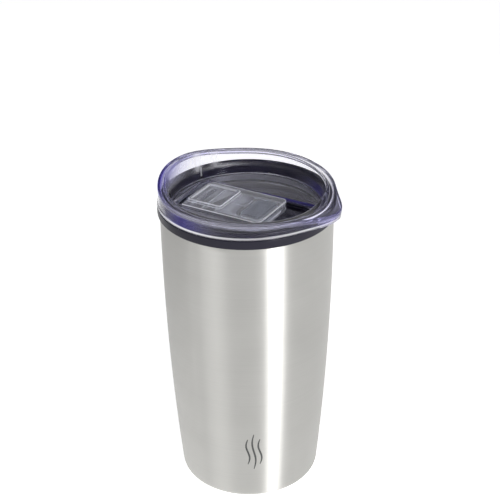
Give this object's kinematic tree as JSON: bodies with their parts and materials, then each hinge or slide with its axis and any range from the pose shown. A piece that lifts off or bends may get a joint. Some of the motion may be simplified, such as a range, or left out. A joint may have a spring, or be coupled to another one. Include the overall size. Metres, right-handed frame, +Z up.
{
  "type": "insulated tumbler with lid",
  "caption": "Tapered steel-walled drinking tumbler with a dark plastic liner and collar, and a clear push-on lid with a spout lobe, thumb tab and sliding closure.",
  "frame": {"origin": "centre of the foot pad's underside, where the tumbler stands", "axes": "+Z up along the tumbler's axis; +X towards the drinking spout; all but one small raised frame on the slider is symmetric about y = 0"},
  "size_m": [0.0945, 0.088, 0.1679],
  "materials": {
    "steel": "finely brushed stainless steel",
    "base_steel": "plain pressed stainless steel",
    "foot_rubber": "matt non-slip rubber",
    "liner_plastic": "satin dark navy plastic",
    "seal_rubber": "soft dark rubber",
    "clear_plastic": "clear moulded plastic with a faint blue-violet tint",
    "slider_plastic": "clear moulded plastic",
    "silicone": "milky translucent silicone"
  },
  "bodies": {
    "cup": {"outer_shell": "steel", "base_plate": "base_steel", "foot_pad": "foot_rubber", "inner_liner": "liner_plastic", "shell_seal": "seal_rubber"},
    "gasket": {"lid_gasket": "silicone"},
    "lid": {"lid": "clear_plastic"},
    "slider": {"slider": "slider_plastic", "slider_stopper": "silicone"}
  },
  "joints": [
    {"name": "lid_lift", "type": "slide", "parent": "cup", "child": "gasket", "axis": [0, 0, 1], "range_m": [0, 0.06]},
    {"name": "lid_turn", "type": "hinge", "parent": "gasket", "child": "lid", "pos_m": [0, 0, 0.15], "axis": [0, 0, 1], "continuous": true},
    {"name": "slider_slide", "type": "slide", "parent": "lid", "child": "slider", "axis": [1, 0, 0], "range_m": [0, 0.017]}
  ]
}
